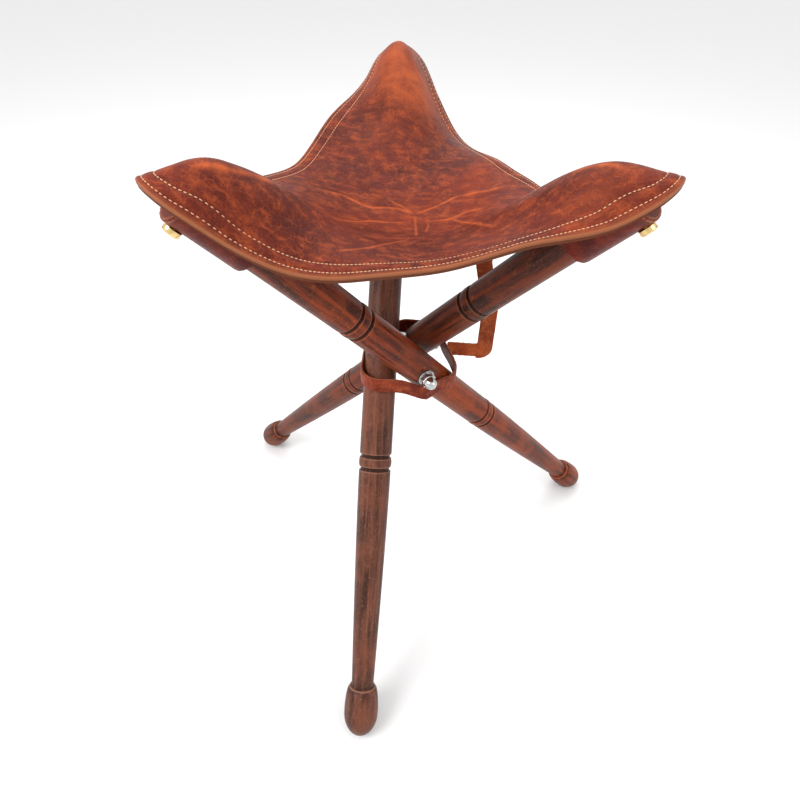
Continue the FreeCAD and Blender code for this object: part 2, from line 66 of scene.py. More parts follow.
def node(tree, kind, inputs=None, out=0, **settings):
    """One shader node: its inputs are joined to sockets or set to values, and one output is handed back."""
    made = tree.nodes.new("ShaderNode" + kind)
    for setting, value in settings.items():
        setattr(made, setting, value)
    for socket, value in (inputs or {}).items():
        if isinstance(value, bpy.types.NodeSocket):
            tree.links.new(value, made.inputs[socket])
        else:
            made.inputs[socket].default_value = value
    return made.outputs[out]


def finish_of(name, metal=0.0, rough=0.5, coat=0.0, gloss=0.5):
    """A new material, its node tree, and the shader that its colour, roughness and bump go into."""
    material = bpy.data.materials.new(name)
    material.use_nodes = True
    shader = material.node_tree.nodes["Principled BSDF"]
    shader.inputs["Metallic"].default_value = metal
    shader.inputs["Roughness"].default_value = rough
    shader.inputs["Specular IOR Level"].default_value = gloss
    shader.inputs["Coat Weight"].default_value = coat
    shader.inputs["Coat Roughness"].default_value = 0.12
    return material, material.node_tree, shader


def tint(tone):
    """A colour with full cover."""
    return (*tone, 1.0)


def stretch(tree, value, low, high, to_low=0.0, to_high=1.0):
    """A value's run from low to high, drawn out to another run and held at its ends."""
    return node(tree, "MapRange", {0: value, 1: low, 2: high, 3: to_low, 4: to_high})


def mixed(tree, share, one, other, way="MIX"):
    return node(tree, "Mix", {0: share, 6: one, 7: other}, out=2, data_type="RGBA", blend_type=way)


def worked(tree, way, one, other):
    return node(tree, "Math", {0: one, 1: other}, operation=way)


def new_piece(name, shape, material, sharp=None):
    """An object at the origin from a finished bmesh, smooth except at edges sharper than the angle given."""
    mesh = bpy.data.meshes.new(name)
    shape.to_mesh(mesh)
    shape.free()
    for face in mesh.polygons:
        face.use_smooth = True
    if sharp:
        mesh.set_sharp_from_angle(angle=math.radians(sharp))
    mesh.materials.append(material)
    piece = bpy.data.objects.new(name, mesh)
    bpy.context.scene.collection.objects.link(piece)
    return piece


paper, tree, shader = finish_of("floor_paper", rough=0.9)
speck = node(tree, "TexNoise", {"Scale": 3.0, "Detail": 2.0})
shade = mixed(tree, speck, tint(FLOOR_TONES[0]), tint(FLOOR_TONES[1]))
tree.links.new(shade, shader.inputs["Base Color"])
ground = bmesh.new()
bmesh.ops.create_grid(ground, x_segments=1, y_segments=1, size=FLOOR_SIZE / 2)
new_piece("floor", ground, paper)

for name, (place, size, power) in LAMPS.items():
    lamp = bpy.data.lights.new(name, "AREA")
    lamp.shape = "DISK"
    lamp.size = size
    lamp.energy = power
    holder = bpy.data.objects.new(name, lamp)
    holder.location = place
    holder.rotation_euler = (Vector(CAMERA_AIM) - Vector(place)).to_track_quat("-Z", "Y").to_euler()
    bpy.context.scene.collection.objects.link(holder)

room = bpy.data.worlds.new("white_room")
room.use_nodes = True
room.node_tree.nodes["Background"].inputs["Color"].default_value = (1.0, 1.0, 1.0, 1.0)
room.node_tree.nodes["Background"].inputs["Strength"].default_value = 1.0
bpy.context.scene.world = room
bpy.context.scene.view_settings.view_transform = "Standard"

camera = bpy.data.objects.new("camera", bpy.data.cameras.new("camera"))
camera.data.lens = CAMERA_LENS
camera.data.sensor_width = 36.0
camera.data.clip_start = 0.02
camera.location = CAMERA_AT
camera.rotation_euler = (Vector(CAMERA_AIM) - Vector(CAMERA_AT)).to_track_quat("-Z", "Y").to_euler()
bpy.context.scene.collection.objects.link(camera)
bpy.context.scene.camera = camera

# The legs: three equal hardwood legs turned on a lathe, each with two beads, a slim ankle and an egg foot,
# stained dark and varnished. They cross at the bolt and splay to the floor, where the feet are worn flat.
LEG_BODY = {"back": "back_leg", "left": "third_leg", "right": "right_leg"}
LEG_TILT = 40.0
LEG_FACING = {"back": 90.0, "left": 210.0, "right": 330.0}
EYE_T = 0.0078
EYE_GAP = 0.0001
THIRD_LEG_GAP = 0.012
LEG_R = 0.016
LEG_TOP = 0.270
LEG_TOP_ROUND = 0.009
BEADS = (0.099, -0.122)
BEAD_HALF = 0.0065
GROOVE_HALF = 0.0022
GROOVE_DEEP = 0.0017
TAPER_FROM = 0.140
ANKLE = 0.356
ANKLE_R = 0.01125
SHOULDER_R = 0.01365
BULB = 0.386
BULB_R = 0.0175
LEG_END = 0.410
SPOT_R = 0.0084
SPOT_AT = 0.0152
SPOT_CUTTER = 0.02
FLOOR_CUT = 0.0001
# heights of the plain rows of the outline, and how closely and how far about a bead the rows are set
PLAIN_ABOVE = (0.245, 0.215, 0.180, 0.145, 0.118)
PLAIN_BETWEEN = (0.075, 0.045, 0.015, -0.020, -0.055, -0.085)
BEAD_REACH = 0.0105
BEAD_STEP = 0.0005
BEAD_ROWS = 43
TAPER_ROWS = 21
TAPER_POWER = 1.35
SHOULDER_DROP = 0.0025
UP = Vector((0, 0, 1))
CROSSING = Vector(next(j["pos_m"] for j in frame["joints"] if j["name"] == "back_leg_turn"))
PAIR_OFF = EYE_T / 2 + EYE_GAP + LEG_R
THIRD_OFF = 2 * LEG_R + THIRD_LEG_GAP


def stand():
    """Each leg's bolt hole and lean, and the two bolts' ways, levelled so that the feet stand alike."""
    tilt = math.radians(LEG_TILT)
    leans = {}
    for leg, facing in LEG_FACING.items():
        turn = math.radians(facing)
        leans[leg] = Vector((math.sin(tilt) * math.cos(turn), math.sin(tilt) * math.sin(turn), math.cos(tilt)))
    long_way = leans["right"].cross(leans["back"]).normalized()
    third_way = leans["left"].cross(long_way).normalized()
    holes = {"back": long_way * PAIR_OFF, "left": third_way * THIRD_OFF, "right": long_way * -PAIR_OFF}
    feet = {leg: holes[leg] - leans[leg] * BULB for leg in leans}
    normal = (feet["left"] - feet["back"]).cross(feet["right"] - feet["back"]).normalized()
    level = normal.rotation_difference(UP)
    holes = {leg: CROSSING + level @ hole for leg, hole in holes.items()}
    return holes, {leg: level @ lean for leg, lean in leans.items()}, level @ long_way, level @ third_way


LEG_HOLE, LEG_LEAN, LONG_BOLT_WAY, THIRD_BOLT_WAY = stand()


def on_leg(leg, along):
    """A point on a leg's middle line, measured up from its bolt hole."""
    return LEG_HOLE[leg] + LEG_LEAN[leg] * along


def outward(leg):
    """The way out from the stool that is square to a leg: where its screw points."""
    lean = LEG_LEAN[leg]
    run = math.hypot(lean.x, lean.y)
    return Vector((lean.x / run * lean.z, lean.y / run * lean.z, -run))


def aim(along, across, at):
    """The turn and move that lays a shape's own Z along one way and its Y along another."""
    turn = Matrix((across.cross(along), across, along)).transposed().to_4x4()
    return Matrix.Translation(at) @ turn


def leg_outline():
    """The turned outline from the top down: radius, height, and painted light from -1, painted shade in a
    groove, to 1, painted highlight on a lip.
    """
    rows = [(0.0, LEG_TOP, 0.0), (0.004, LEG_TOP, 0.0)]
    for step in range(7):
        a = math.radians(90 - 15 * step)
        low = LEG_TOP - LEG_TOP_ROUND * (1 - math.sin(a))
        rows.append((LEG_R - LEG_TOP_ROUND * (1 - math.cos(a)), low, 0.25))
    heights = list(PLAIN_ABOVE)
    heights += [BEADS[0] + BEAD_REACH - BEAD_STEP * k for k in range(BEAD_ROWS)]
    heights += PLAIN_BETWEEN
    heights += [BEADS[1] + BEAD_REACH - BEAD_STEP * k for k in range(BEAD_ROWS)]
    for z in heights:
        off = min(abs(z - BEADS[0]), abs(z - BEADS[1]))
        in_groove = max(0.0, 1 - abs(off - BEAD_HALF) / GROOVE_HALF)
        radius = LEG_R - GROOVE_DEEP * math.sin(in_groove * math.pi / 2)
        if off < BEAD_HALF - GROOVE_HALF:
            radius += 0.0004 - 0.0005 * (off / (BEAD_HALF - GROOVE_HALF)) ** 2
        lip_highlight = math.exp(-(((abs(off - BEAD_HALF) - GROOVE_HALF - 0.0003) / 0.0006) ** 2))
        rows.append((radius, z, lip_highlight - min(1.0, 2.0 * in_groove)))
    for step in range(TAPER_ROWS + 1):
        share = step / TAPER_ROWS
        z = -(TAPER_FROM + (ANKLE - TAPER_FROM) * share)
        rows.append((LEG_R - (LEG_R - ANKLE_R) * share**TAPER_POWER, z, -0.5 if step == TAPER_ROWS else 0.0))
    top = ANKLE + SHOULDER_DROP
    # the third values here and at the ankle above are painted light: shade in the ankle's neck and under the
    # foot, highlight on the shoulder
    rows += [(0.0118, -ANKLE - 0.0004, -0.4), (0.0132, -ANKLE - 0.0011, 0.9)]
    rows.append((SHOULDER_R, -ANKLE - 0.0019, 1.0))
    for step in range(13):
        a = math.radians(7.5 * step)
        radius = SHOULDER_R + (BULB_R - SHOULDER_R) * math.sin(a)
        rows.append((radius, -(top + (BULB - top) * (1 - math.cos(a))), 0.6 if step == 0 else 0.0))
    for step in range(1, 13):
        a = math.radians(7.5 * step)
        rows.append((BULB_R * math.cos(a), -(BULB + (LEG_END - BULB) * math.sin(a)), -0.2))
    rows[-1] = (0.0, -LEG_END, 0.0)
    return rows


def turned(rows, steps=64):
    """A shape spun about Z from an outline of radius, height and painted light: shade in grooves, highlight on
    lips.
    """
    shape = bmesh.new()
    groove_shade_lip_highlight = shape.verts.layers.float.new("groove_shade_lip_highlight")
    line = []
    for radius, height, painted_light in rows:
        line.append(shape.verts.new((radius, 0.0, height)))
        line[-1][groove_shade_lip_highlight] = painted_light
    edges = [shape.edges.new(pair) for pair in zip(line, line[1:])]
    bmesh.ops.spin(
        shape, geom=line + edges, cent=(0, 0, 0), axis=(0, 0, 1), angle=math.tau, steps=steps, use_merge=True
    )
    bmesh.ops.remove_doubles(shape, verts=shape.verts, dist=1e-6)
    bmesh.ops.recalc_face_normals(shape, faces=shape.faces)
    return shape


def keep_own_place(shape):
    """Notes where each point lies on the piece before it is aimed, for a pattern that follows the piece."""
    own = shape.verts.layers.float_vector.new("own_place")
    for v in shape.verts:
        v[own] = v.co


def carve(piece, cutter):
    """Takes a cutter's shape out of a piece."""
    tool = new_piece(piece.name + "_cutter", cutter, piece.data.materials[0])
    cut = piece.modifiers.new("cut", "BOOLEAN")
    cut.operation = "DIFFERENCE"
    cut.solver = "EXACT"
    cut.object = tool
    whole = piece.evaluated_get(bpy.context.evaluated_depsgraph_get())
    carved_mesh = bpy.data.meshes.new_from_object(whole)
    piece.modifiers.clear()
    piece.data = carved_mesh
    bpy.data.objects.remove(tool)


def stained_wood(name, dark, warm, pale, knot, glow):
    """Dark stained hardwood: long streaks, growth bands, open pores, a knot, and a varnish coat, with painted
    shade in its grooves and painted highlight along their lips.
    """
    material, tree, shader = finish_of(name, rough=0.36, coat=0.02, gloss=0.15)
    own = node(tree, "Attribute", out=1, attribute_name="own_place")
    along = node(tree, "Mapping", {0: own, "Scale": (1.0, 1.0, 0.06)})
    leaning = node(tree, "Mapping", {0: own, "Rotation": (0.05, 0.09, 0.6), "Scale": (1.0, 0.55, 0.10)})
    off = node(tree, "VectorMath", {0: own, 1: knot}, operation="SUBTRACT")
    off = node(tree, "VectorMath", {0: off, 1: (1.0, 1.0, 0.42)}, operation="MULTIPLY")
    near = node(tree, "VectorMath", {0: off}, out=1, operation="LENGTH")
    pull = stretch(tree, near, 0.0, 0.016, 1.0, 0.0)
    pull = worked(tree, "MULTIPLY", pull, 0.9)
    swirl = node(tree, "VectorMath", {0: off, "Scale": pull}, operation="SCALE")
    bent = node(tree, "VectorMath", {0: leaning, 1: swirl}, operation="ADD")
    streaks = node(tree, "TexNoise", {"Vector": along, "Scale": 240.0, "Detail": 6.0, "Roughness": 0.62})
    bands = node(
        tree,
        "TexWave",
        {"Vector": bent, "Scale": 46.0, "Distortion": 5.5, "Detail": 3.0, "Detail Scale": 1.1},
        bands_direction="X",
    )
    pores = node(tree, "TexNoise", {"Vector": along, "Scale": 1500.0, "Detail": 2.0, "Roughness": 0.5})
    clouds = node(tree, "TexNoise", {"Vector": own, "Scale": 26.0, "Detail": 3.0})
    flecks = node(tree, "TexNoise", {"Vector": own, "Scale": 420.0, "Detail": 3.0, "Distortion": 1.2})
    tone = mixed(tree, stretch(tree, streaks, 0.40, 0.60), tint(dark), tint(warm))
    tone = mixed(tree, stretch(tree, bands, 0.15, 0.95, 0.0, 0.55), tone, tint(dark))
    tone = mixed(tree, stretch(tree, clouds, 0.45, 0.70, 0.0, 0.65), tone, tint(glow))
    tone = mixed(tree, stretch(tree, flecks, 0.56, 0.74, 0.0, 0.40), tone, tint(pale))
    tone = mixed(tree, stretch(tree, pores, 0.60, 0.72, 0.0, 0.75), tone, tint([c * 0.25 for c in dark]))
    tone = mixed(tree, stretch(tree, near, 0.001, 0.007, 0.9, 0.0), tone, tint([c * 0.3 for c in dark]))
    # painted shade, near black, in the bead grooves, at the ankle and under the foot; painted highlight, pale,
    # along the lips of the grooves and on the shoulder
    groove_shade_lip_highlight = node(tree, "Attribute", out=2, attribute_name="groove_shade_lip_highlight")
    tone = mixed(tree, stretch(tree, groove_shade_lip_highlight, -0.1, -0.9, 0.0, 0.8), tone, tint([c * 0.2 for c in dark]))
    tone = mixed(tree, stretch(tree, groove_shade_lip_highlight, 0.35, 1.0, 0.0, 0.65), tone, tint(pale))
    tree.links.new(tone, shader.inputs["Base Color"])
    tree.links.new(stretch(tree, streaks, 0.3, 0.7, 0.30, 0.48), shader.inputs["Roughness"])
    ribs = worked(tree, "MULTIPLY", streaks, 0.5)
    height = worked(tree, "SUBTRACT", ribs, stretch(tree, pores, 0.58, 0.72))
    bump = node(tree, "Bump", {"Height": height, "Strength": 0.45, "Distance": 0.0004})
    tree.links.new(bump, shader.inputs["Normal"])
    return material


WOOD = {
    "back": stained_wood(
        "wood_back",
        dark=(0.042, 0.015, 0.009),
        warm=(0.165, 0.055, 0.032),
        pale=(0.30, 0.15, 0.10),
        knot=(0.010, -0.012, -0.165),
        glow=(0.190, 0.058, 0.030),
    ),
    "left": stained_wood(
        "wood_left",
        dark=(0.045, 0.008, 0.003),
        warm=(0.230, 0.034, 0.008),
        pale=(0.40, 0.13, 0.05),
        knot=(0.010, -0.011, 0.060),
        glow=(0.300, 0.048, 0.006),
    ),
    "right": stained_wood(
        "wood_right",
        dark=(0.030, 0.007, 0.003),
        warm=(0.160, 0.027, 0.008),
        pale=(0.30, 0.11, 0.05),
        knot=(0.011, -0.011, 0.150),
        glow=(0.200, 0.036, 0.007),
    ),
}
for leg, across in (("back", LONG_BOLT_WAY), ("left", THIRD_BOLT_WAY), ("right", LONG_BOLT_WAY)):
    shape = turned(leg_outline())
    keep_own_place(shape)
    bmesh.ops.transform(shape, matrix=aim(LEG_LEAN[leg], across, LEG_HOLE[leg]), verts=shape.verts)
    bmesh.ops.bisect_plane(
        shape,
        geom=shape.verts[:] + shape.edges[:] + shape.faces[:],
        plane_co=(0, 0, FLOOR_CUT),
        plane_no=(0, 0, 1),
        clear_inner=True,
    )
    rim = [e for e in shape.edges if e.is_boundary]
    bmesh.ops.contextual_create(shape, geom=rim)
    bmesh.ops.recalc_face_normals(shape, faces=shape.faces)
    piece = new_piece("turned_leg_" + leg, shape, WOOD[leg])
    for side in {"back": (1,), "right": (-1,), "left": (-1, 1)}[leg]:
        spot = bmesh.new()
        bmesh.ops.create_cone(
            spot, cap_ends=True, segments=48, radius1=SPOT_R, radius2=SPOT_R, depth=SPOT_CUTTER
        )
        spot_middle = LEG_HOLE[leg] + across * side * (SPOT_AT + SPOT_CUTTER / 2)
        place = aim(across * side, LEG_LEAN[leg], spot_middle)
        bmesh.ops.transform(spot, matrix=place, verts=spot.verts)
        carve(piece, spot)
    piece.data.set_sharp_from_angle(angle=math.radians(50))
    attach(piece, LEG_BODY[leg])
    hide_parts("leg_" + leg)

# The three-way bolt: a long bolt through two legs with an eye on it, whose shank goes through the third leg.
# Both ends carry a bright plated acorn nut on a washer; the plating is polished and a little smudged.
NUT_FLATS = 0.013
NUT_H = 0.0065
DOME_R = 0.0062
DOME_NECK = 0.0071
DOME_H = 0.015
WASHER_T = 0.0016
LONG_NUT_AT = PAIR_OFF + SPOT_AT + WASHER_T
THIRD_NUT_AT = THIRD_OFF + SPOT_AT + WASHER_T


def bright_metal(name, tone, rough):
    """Polished or plated metal with soft smudges and hair scratches."""
    material, tree, shader = finish_of(name, metal=1.0, rough=rough)
    place = node(tree, "TexCoord", out=3)
    smudge = node(tree, "TexNoise", {"Vector": place, "Scale": 190.0, "Detail": 4.0})
    scratch = node(tree, "TexNoise", {"Vector": place, "Scale": 1600.0, "Detail": 2.0})
    shade = mixed(tree, stretch(tree, smudge, 0.4, 0.7), tint(tone), tint([c * 0.72 for c in tone]))
    tree.links.new(shade, shader.inputs["Base Color"])
    tree.links.new(stretch(tree, smudge, 0.35, 0.7, rough * 0.8, rough * 1.7), shader.inputs["Roughness"])
    bump = node(tree, "Bump", {"Height": scratch, "Strength": 0.10, "Distance": 0.0001})
    tree.links.new(bump, shader.inputs["Normal"])
    return material


bright_steel = bright_metal("bright_steel", (0.60, 0.61, 0.61), 0.17)
for name in (
    "main_bolt",
    "main_bolt_head_washer",
    "main_bolt_nut_washer",
    "eye_bolt",
    "eye_bolt_inner_nut",
    "eye_bolt_inner_washer",
    "eye_bolt_outer_washer",
):
    frame["nodes"][name].data.materials.clear()
    frame["nodes"][name].data.materials.append(bright_steel)


def acorn_nut():
    """A hexagon with eased corners, and a dome on a short neck over the end of the bolt."""
    shape = bmesh.new()
    corner = NUT_FLATS / 2 / math.cos(math.radians(30))
    bmesh.ops.create_cone(shape, cap_ends=True, segments=6, radius1=corner, radius2=corner, depth=NUT_H)
    bmesh.ops.translate(shape, verts=shape.verts, vec=(0, 0, NUT_H / 2))
    bmesh.ops.bevel(
        shape, geom=shape.edges[:], offset=0.00045, affect="EDGES", segments=3, profile=0.5, material=-1
    )
    dome = [(0.0045, NUT_H - 0.001), (DOME_R + 0.0004, NUT_H - 0.001)]
    dome += [(DOME_R, NUT_H + 0.0003), (DOME_R, DOME_NECK)]
    for step in range(1, 15):
        a = math.radians(90 * step / 14)
        dome.append((DOME_R * math.cos(a), DOME_NECK + (DOME_H - DOME_NECK) * math.sin(a)))
    dome[-1] = (0.0, DOME_H)
    cap = turned([(r, z, 0.0) for r, z in dome], steps=40)
    rest = bpy.data.meshes.new("dome")
    cap.to_mesh(rest)
    cap.free()
    shape.from_mesh(rest)
    bpy.data.meshes.remove(rest)
    return shape


for name, way, far in (
    ("main_bolt_nut", -LONG_BOLT_WAY, LONG_NUT_AT),
    ("eye_bolt_nut", THIRD_BOLT_WAY, THIRD_NUT_AT),
):
    shape = acorn_nut()
    side = LEG_LEAN["left"].cross(way).normalized()
    bmesh.ops.transform(shape, matrix=aim(way, side, CROSSING + way * far), verts=shape.verts)
    piece = new_piece("acorn_" + name, shape, bright_steel, sharp=35)
    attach(piece, "crossing")
    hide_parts(name)

# The seat: one three-pointed piece of thick pull-up leather that hangs from the leg ends, its edge doubled
# by a strip beneath and held with two rows of heavy saddle stitching. It is made as three leaves, one to a
# leg, that meet without a line.
SEAT_T = 0.0030
BAND_T = 0.0024
BAND_W = 0.0170
FACE_DROP = 0.0008
RING = ("back", "left", "right")
TIP_OUT = 0.038
TIP_DROP = {"back": 0.0230, "left": 0.0145, "right": 0.0110}
TIPS = {name: on_leg(name, LEG_TOP + TIP_OUT) - UP * TIP_DROP[name] for name in RING}
SEAT_MIDDLE = (TIPS["back"] + TIPS["left"] + TIPS["right"]) / 3
SEAT_LEVEL = (TIPS["left"] - TIPS["back"]).cross(TIPS["right"] - TIPS["back"]).normalized()
TIP_TWIST = {"back": 0.26, "left": -0.12, "right": -0.28}
TWIST_AT = 0.68
TWIST_SPAN = 0.045
SEAT_SAG = 0.076
RIDGE_CREST = 0.80
RIDGE_POWER = 1.5
TIP_R = 0.190
EDGE_ANGLE = (0.0, 6.0, 12.0, 20.0, 30.0, 45.0, 60.0)
EDGE_RADIUS = (0.190, 0.183, 0.163, 0.143, 0.127, 0.112, 0.106)
EDGE_DROP = (0.0, 0.009, 0.030, 0.045, 0.052, 0.056, 0.058)
LIFT_SPAN = 0.022
LEG_END_CLEAR = 0.00105
COLUMNS = 120
ROW_INSETS = (0.0, 0.0003, 0.0009, 0.0018, 0.0028, 0.0033, 0.0038, 0.0043, 0.0048)
ROW_INSETS += (0.0065, 0.0085, 0.0104, 0.0110, 0.0115, 0.0120, 0.0126, 0.0140, 0.0160)
STRIP_INSETS = (0.0005, 0.0011, 0.0040, 0.0085, 0.0135, 0.0164, BAND_W)
INNER_ROWS = 66
STITCH_ROWS = (0.0038, 0.0115)
STITCH_PITCH = 0.0028
STITCH_SIZE = (0.00042, 0.00125, 0.00042)
CREASE_STAND = 0.45
# creases in the hide as it hangs: their course over the floor, how wide each is and how far it stands
CREASES = (
    (((-0.001, 0.027), (-0.015, 0.034), (-0.036, 0.027), (-0.060, 0.034), (-0.085, 0.030)), 0.0034, 0.0011),
    (((-0.001, 0.027), (-0.013, 0.040), (-0.024, 0.046)), 0.0022, 0.0006),
    (((-0.008, 0.013), (-0.018, 0.010), (-0.035, 0.006), (-0.049, -0.013), (-0.060, -0.034)), 0.0026, 0.0007),
    (((0.001, 0.028), (0.018, 0.038), (0.033, 0.050), (0.060, 0.051), (0.080, 0.058)), 0.0034, 0.0011),
    (((0.008, 0.015), (0.029, 0.018), (0.041, 0.025), (0.058, 0.025)), 0.0028, 0.0008),
    (((0.030, 0.020), (0.048, -0.007), (0.062, -0.036)), 0.0030, 0.0009),
    (((0.000, 0.024), (0.002, 0.004), (0.004, -0.020)), 0.0024, 0.0009),
    (((-0.003, -0.030), (-0.026, -0.060), (-0.049, -0.075)), 0.0028, 0.0006),
    (((0.010, 0.024), (0.012, 0.006), (0.010, -0.010)), 0.0018, 0.0006),
    (((-0.130, -0.084), (-0.110, -0.070), (-0.088, -0.046)), 0.0060, 0.0004),
    (((0.140, -0.046), (0.118, -0.034), (0.095, -0.010)), 0.0060, 0.0004),
)
CUT_TONE = (0.31, 0.100, 0.042)
# soft patches of painted shade and painted highlight in the hide, darker in its hollows and bright orange on
# the back lobe, the arches and the middle, and two small dark spots: place over the floor, reach, tone and
# strength
HIDE_TONE = (0.190, 0.022, 0.007)
HIDE_PAINTED_LIGHT_PATCHES = (
    ((-0.074, 0.052), 0.045, (0.131, 0.018, 0.008), 0.75),
    ((-0.009, 0.085), 0.042, (0.125, 0.022, 0.015), 0.85),
    ((0.030, 0.100), 0.030, (0.106, 0.022, 0.016), 0.75),
    ((0.008, -0.054), 0.045, (0.134, 0.015, 0.006), 0.70),
    ((-0.074, -0.060), 0.040, (0.118, 0.018, 0.010), 0.75),
    ((0.063, -0.063), 0.035, (0.131, 0.018, 0.008), 0.70),
    ((0.080, 0.085), 0.034, (0.299, 0.039, 0.008), 0.70),
    ((0.050, 0.055), 0.026, (0.268, 0.033, 0.008), 0.50),
    ((-0.001, 0.027), 0.020, (0.325, 0.047, 0.010), 0.55),
    ((-0.020, 0.160), 0.030, (0.600, 0.130, 0.034), 0.95),
    ((-0.046, 0.118), 0.022, (0.156, 0.036, 0.021), 0.70),
    ((-0.118, -0.092), 0.028, (0.206, 0.030, 0.012), 0.60),
    ((-0.100, -0.060), 0.024, (0.125, 0.021, 0.013), 0.60),
    ((0.130, -0.056), 0.026, (0.262, 0.045, 0.015), 0.70),
    ((0.112, -0.030), 0.026, (0.156, 0.034, 0.020), 0.60),
    ((-0.0157, 0.0797), 0.0034, (0.031, 0.010, 0.008), 0.70),
    ((-0.046, 0.038), 0.0026, (0.044, 0.010, 0.006), 0.60),
)


def smooth_curve(places, values, at):
    """A value read from a table of places, along a curve that passes smoothly through each of them."""
    at = min(max(at, places[0]), places[-1])
    last = len(places) - 1
    i = max(k for k in range(last) if places[k] <= at)
    slope = [0.0] * (last + 1)
    for k in range(1, last):
        slope[k] = (values[k + 1] - values[k - 1]) / (places[k + 1] - places[k - 1])
    step = places[i + 1] - places[i]
    t = (at - places[i]) / step
    start = (2 * t**3 - 3 * t**2 + 1) * values[i] + (t**3 - 2 * t**2 + t) * step * slope[i]
    return start + (3 * t**2 - 2 * t**3) * values[i + 1] + (t**3 - t**2) * step * slope[i + 1]


def bearing(x, y):
    return math.degrees(math.atan2(y - SEAT_MIDDLE.y, x - SEAT_MIDDLE.x))


TIP_BEARING = {name: bearing(tip.x, tip.y) for name, tip in TIPS.items()}
TIP_REACH = {name: (tip.xy - SEAT_MIDDLE.xy).length for name, tip in TIPS.items()}


def span_after(i):
    return (TIP_BEARING[RING[(i + 1) % 3]] - TIP_BEARING[RING[i]]) % 360


def edge_reach(near, far, share):
    scale = TIP_REACH[near] + (TIP_REACH[far] - TIP_REACH[near]) * share / 120
    return smooth_curve(EDGE_ANGLE, EDGE_RADIUS, share) * scale / TIP_R


def sector(x, y):
    """The nearest tip, the next one, and the share of the way between them."""
    here = bearing(x, y)
    for i in range(3):
        gone = (here - TIP_BEARING[RING[i]]) % 360
        if gone <= span_after(i):
            share = 120 * gone / span_after(i)
            if share <= 60:
                return RING[i], RING[(i + 1) % 3], share
            return RING[(i + 1) % 3], RING[i], 120 - share
    return RING[0], RING[1], 0.0


def drape(x, y):
    """Height of the seat's upper face before the leg ends lift it."""
    run_x, run_y = x - SEAT_MIDDLE.x, y - SEAT_MIDDLE.y
    level = SEAT_MIDDLE.z - (run_x * SEAT_LEVEL.x + run_y * SEAT_LEVEL.y) / SEAT_LEVEL.z
    near, far, share = sector(x, y)
    rim = math.hypot(run_x, run_y) / edge_reach(near, far, share)
    mid = (1 - math.cos(math.radians(3 * share))) / 2
    crest = RIDGE_CREST + (1 - RIDGE_CREST) * mid
    climb = ((1 - math.cos(math.pi * min(rim / crest, 1))) / 2) ** (RIDGE_POWER + (1 - RIDGE_POWER) * mid)
    height = level - SEAT_SAG + (SEAT_SAG - smooth_curve(EDGE_ANGLE, EDGE_DROP, share)) * climb
    for name in RING:
        turn = math.radians(TIP_BEARING[name])
        run = run_x * math.cos(turn) + run_y * math.sin(turn)
        aside = run_y * math.cos(turn) - run_x * math.sin(turn)
        off_twist = (run - TWIST_AT * TIP_REACH[name]) / TWIST_SPAN
        height += TIP_TWIST[name] * aside * math.exp(-(off_twist**2))
    return height


def leg_end_spots(name):
    """Points all over a leg's rounded upper end."""
    out = outward(name)
    side = LEG_LEAN[name].cross(out)
    spots = []
    for turn in range(0, 360, 10):
        way = out * math.cos(math.radians(turn)) + side * math.sin(math.radians(turn))
        for rise in range(0, 91, 15):
            a = math.radians(rise)
            middle = on_leg(name, LEG_TOP - LEG_TOP_ROUND * (1 - math.sin(a)))
            spots.append(middle + way * (LEG_R - LEG_TOP_ROUND * (1 - math.cos(a))))
    return spots


def leg_lift(name):
    """Where a leg's end bears on the hide, and how far it lifts it to lie just clear of every point."""
    spots = leg_end_spots(name)
    high = max(spots, key=lambda p: p.z).xy
    under = SEAT_T + BAND_T + LEG_END_CLEAR
    needs = []
    for p in spots:
        fading = math.exp(-((p.xy - high).length_squared / LIFT_SPAN**2))
        needs.append((p.z + under - drape(p.x, p.y)) / fading)
    return high, max(needs)


LEG_LIFTS = [leg_lift(name) for name in RING]


def hide_height(x, y):
    """Height of the seat's upper face as it hangs from the three leg ends."""
    height = drape(x, y)
    for spot, lift in LEG_LIFTS:
        height += lift * math.exp(-((Vector((x, y)) - spot).length_squared / LIFT_SPAN**2))
    return height


def rim_at(turn):
    """A point of the seat's outline; turn is 0 at the back tip, 120 at the left and 240 at the right."""
    turn %= 360
    i = int(turn // 120)
    at = turn - 120 * i
    first, second = RING[i], RING[(i + 1) % 3]
    near, far, share = (first, second, at) if at <= 60 else (second, first, 120 - at)
    way = math.radians(TIP_BEARING[first] + span_after(i) * at / 120)
    return SEAT_MIDDLE.xy + Vector((math.cos(way), math.sin(way))) * edge_reach(near, far, share)


def inset_at(turn, inset):
    """A point square in from the seat's outline."""
    along = (rim_at(turn + 0.4) - rim_at(turn - 0.4)).normalized()
    return rim_at(turn) + Vector((-along.y, along.x)) * inset


